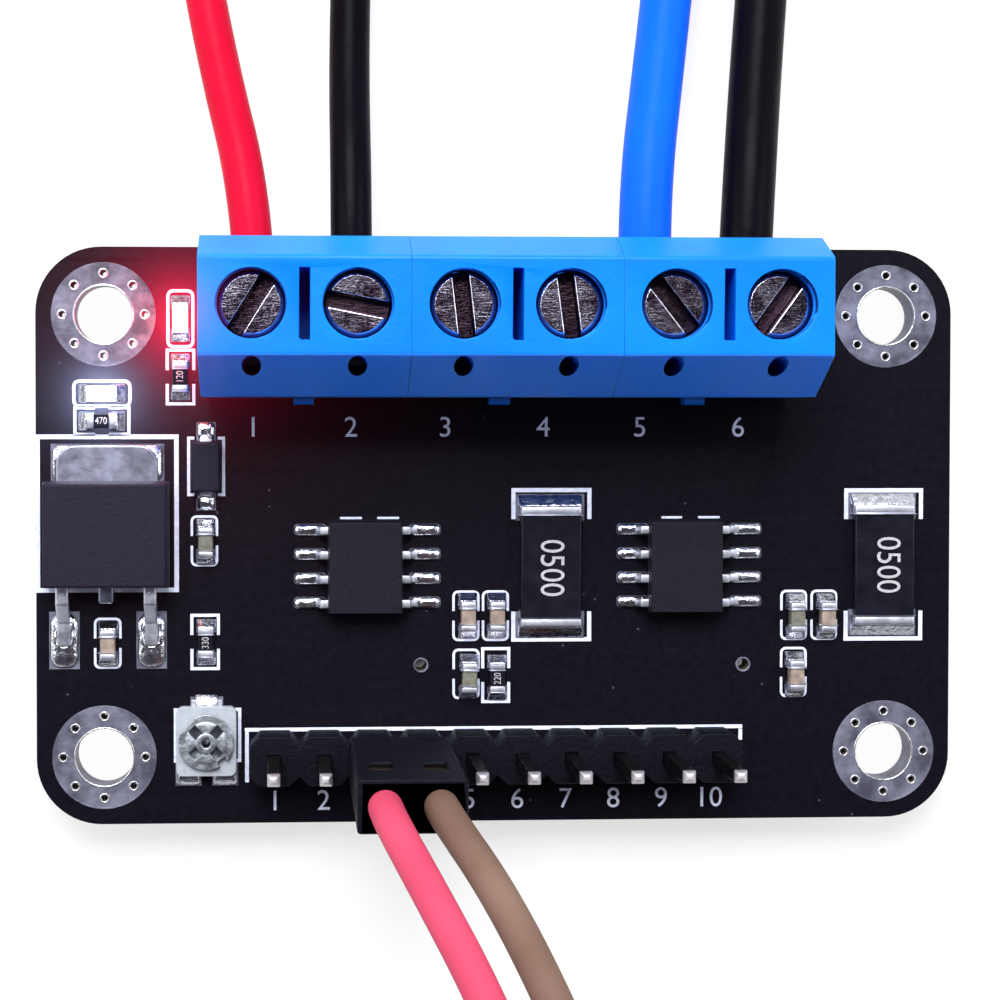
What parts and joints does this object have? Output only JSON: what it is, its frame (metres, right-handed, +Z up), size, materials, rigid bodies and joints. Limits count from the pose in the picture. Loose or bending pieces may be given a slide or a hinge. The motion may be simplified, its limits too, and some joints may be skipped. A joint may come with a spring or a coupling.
{
  "type": "dc motor driver module",
  "caption": "Small circuit board that drives motors, with screw terminal blocks, pin header, regulator, driver chips, trimmer and plugged-in leads.",
  "frame": {"origin": "under the middle of the board, level with the tips of the soldered tails", "axes": "+X along the board, +Y towards the terminal blocks, +Z up from the board's top face"},
  "size_m": [0.0564, 0.0985, 0.0308],
  "materials": {
    "board_mask": "black solder mask over glass fibre laminate",
    "tinned_copper": "bright tinned copper",
    "solder": "bright solder",
    "blue_plastic": "moulded blue plastic",
    "screw_steel": "nickel plated steel",
    "cage_steel": "nickel plated steel strip",
    "tinned_brass": "tinned brass",
    "copper_strand": "bare copper strands",
    "header_plastic": "black moulded plastic",
    "pin_gold": "thin gold plating",
    "jumper_plastic": "black moulded plastic",
    "package_plastic": "dark moulded package",
    "lead_tin": "matt tin plating",
    "sense_black": "black resin coat",
    "ceramic_tan": "tan ceramic",
    "ceramic_grey": "grey-green ceramic",
    "resistor_black": "black glass coat on white ceramic",
    "lamp_white": "white plastic base",
    "lens_red": "clear moulded lens, lit red",
    "lens_white": "clear moulded lens, lit white",
    "trimmer_white": "white ceramic",
    "trimmer_steel": "plated steel",
    "wire_red": "soft red insulation",
    "wire_black": "soft black insulation",
    "wire_blue": "soft blue insulation",
    "wire_brown": "soft brown insulation"
  },
  "bodies": {
    "module": {"circuit_board": "board_mask", "mounting_pads": "tinned_copper", "solder_pads": "tinned_copper", "solder_fillets": "solder", "solder_joints": "solder", "terminal_housing_1": "blue_plastic", "terminal_housing_2": "blue_plastic", "terminal_housing_3": "blue_plastic", "terminal_contacts": "tinned_brass", "clamped_strands": "copper_strand", "header_strip": "header_plastic", "header_pins": "pin_gold", "jumper_housing": "jumper_plastic", "far_housing": "jumper_plastic", "jumper_contacts": "tinned_brass", "far_contacts": "tinned_brass", "regulator_body": "package_plastic", "regulator_tab": "lead_tin", "regulator_leads": "lead_tin", "driver_chip_left": "package_plastic", "driver_leads_left": "lead_tin", "sense_resistor_left": "sense_black", "driver_chip_right": "package_plastic", "driver_leads_right": "lead_tin", "sense_resistor_right": "sense_black", "sense_resistor_caps": "tinned_copper", "capacitors_tan": "ceramic_tan", "capacitors_grey": "ceramic_grey", "capacitor_caps": "tinned_copper", "chip_resistors": "resistor_black", "chip_resistor_caps": "tinned_copper", "diode_body": "package_plastic", "diode_leads": "lead_tin", "lamp_bases": "lamp_white", "lamp_lens_red": "lens_red", "lamp_lens_white": "lens_white", "trimmer_base": "trimmer_white", "trimmer_terminals": "lead_tin", "trimmer_rivet": "trimmer_steel", "supply_lead_red": "wire_red", "supply_lead_black": "wire_black", "motor_lead_blue": "wire_blue", "motor_lead_black": "wire_black", "jumper_lead_red": "wire_red", "jumper_lead_brown": "wire_brown", "tinned_ends": "tinned_copper"},
    "screw_1": {"terminal_screw_1": "screw_steel"},
    "cage_1": {"clamp_cage_1": "cage_steel"},
    "screw_2": {"terminal_screw_2": "screw_steel"},
    "cage_2": {"clamp_cage_2": "cage_steel"},
    "screw_3": {"terminal_screw_3": "screw_steel"},
    "cage_3": {"clamp_cage_3": "cage_steel"},
    "screw_4": {"terminal_screw_4": "screw_steel"},
    "cage_4": {"clamp_cage_4": "cage_steel"},
    "screw_5": {"terminal_screw_5": "screw_steel"},
    "cage_5": {"clamp_cage_5": "cage_steel"},
    "screw_6": {"terminal_screw_6": "screw_steel"},
    "cage_6": {"clamp_cage_6": "cage_steel"},
    "trimmer_rotor": {"trimmer_rotor": "trimmer_steel"}
  },
  "joints": [
    {"name": "screw_1_turn", "type": "hinge", "parent": "module", "child": "screw_1", "pos_m": [-0.0127, 0.0116, 0.0121], "axis": [0, 0, 1], "range_deg": [0, 1008]},
    {"name": "cage_1_lift", "type": "slide", "parent": "module", "child": "cage_1", "axis": [0, 0, 1], "range_m": [-0.0014, 0]},
    {"name": "screw_2_turn", "type": "hinge", "parent": "module", "child": "screw_2", "pos_m": [-0.00762, 0.0116, 0.0121], "axis": [0, 0, 1], "range_deg": [0, 1008]},
    {"name": "cage_2_lift", "type": "slide", "parent": "module", "child": "cage_2", "axis": [0, 0, 1], "range_m": [-0.0014, 0]},
    {"name": "screw_3_turn", "type": "hinge", "parent": "module", "child": "screw_3", "pos_m": [-0.00254, 0.0116, 0.0121], "axis": [0, 0, 1], "range_deg": [-1584, 0]},
    {"name": "cage_3_lift", "type": "slide", "parent": "module", "child": "cage_3", "axis": [0, 0, 1], "range_m": [0, 0.0022]},
    {"name": "screw_4_turn", "type": "hinge", "parent": "module", "child": "screw_4", "pos_m": [0.00254, 0.0116, 0.0121], "axis": [0, 0, 1], "range_deg": [-1584, 0]},
    {"name": "cage_4_lift", "type": "slide", "parent": "module", "child": "cage_4", "axis": [0, 0, 1], "range_m": [0, 0.0022]},
    {"name": "screw_5_turn", "type": "hinge", "parent": "module", "child": "screw_5", "pos_m": [0.00762, 0.0116, 0.0121], "axis": [0, 0, 1], "range_deg": [0, 1008]},
    {"name": "cage_5_lift", "type": "slide", "parent": "module", "child": "cage_5", "axis": [0, 0, 1], "range_m": [-0.0014, 0]},
    {"name": "screw_6_turn", "type": "hinge", "parent": "module", "child": "screw_6", "pos_m": [0.0127, 0.0116, 0.0121], "axis": [0, 0, 1], "range_deg": [0, 1008]},
    {"name": "cage_6_lift", "type": "slide", "parent": "module", "child": "cage_6", "axis": [0, 0, 1], "range_m": [-0.0014, 0]},
    {"name": "trimmer_turn", "type": "hinge", "parent": "module", "child": "trimmer_rotor", "pos_m": [-0.0152, -0.01062, 0.0042], "axis": [0, 0, 1], "range_deg": [-130, 130]}
  ],
  "couplings": [
    {"joint": "screw_1_turn", "follows": "cage_1_lift", "rad_per_m": -12566},
    {"joint": "screw_2_turn", "follows": "cage_2_lift", "rad_per_m": -12566},
    {"joint": "screw_3_turn", "follows": "cage_3_lift", "rad_per_m": -12566},
    {"joint": "screw_4_turn", "follows": "cage_4_lift", "rad_per_m": -12566},
    {"joint": "screw_5_turn", "follows": "cage_5_lift", "rad_per_m": -12566},
    {"joint": "screw_6_turn", "follows": "cage_6_lift", "rad_per_m": -12566}
  ]
}
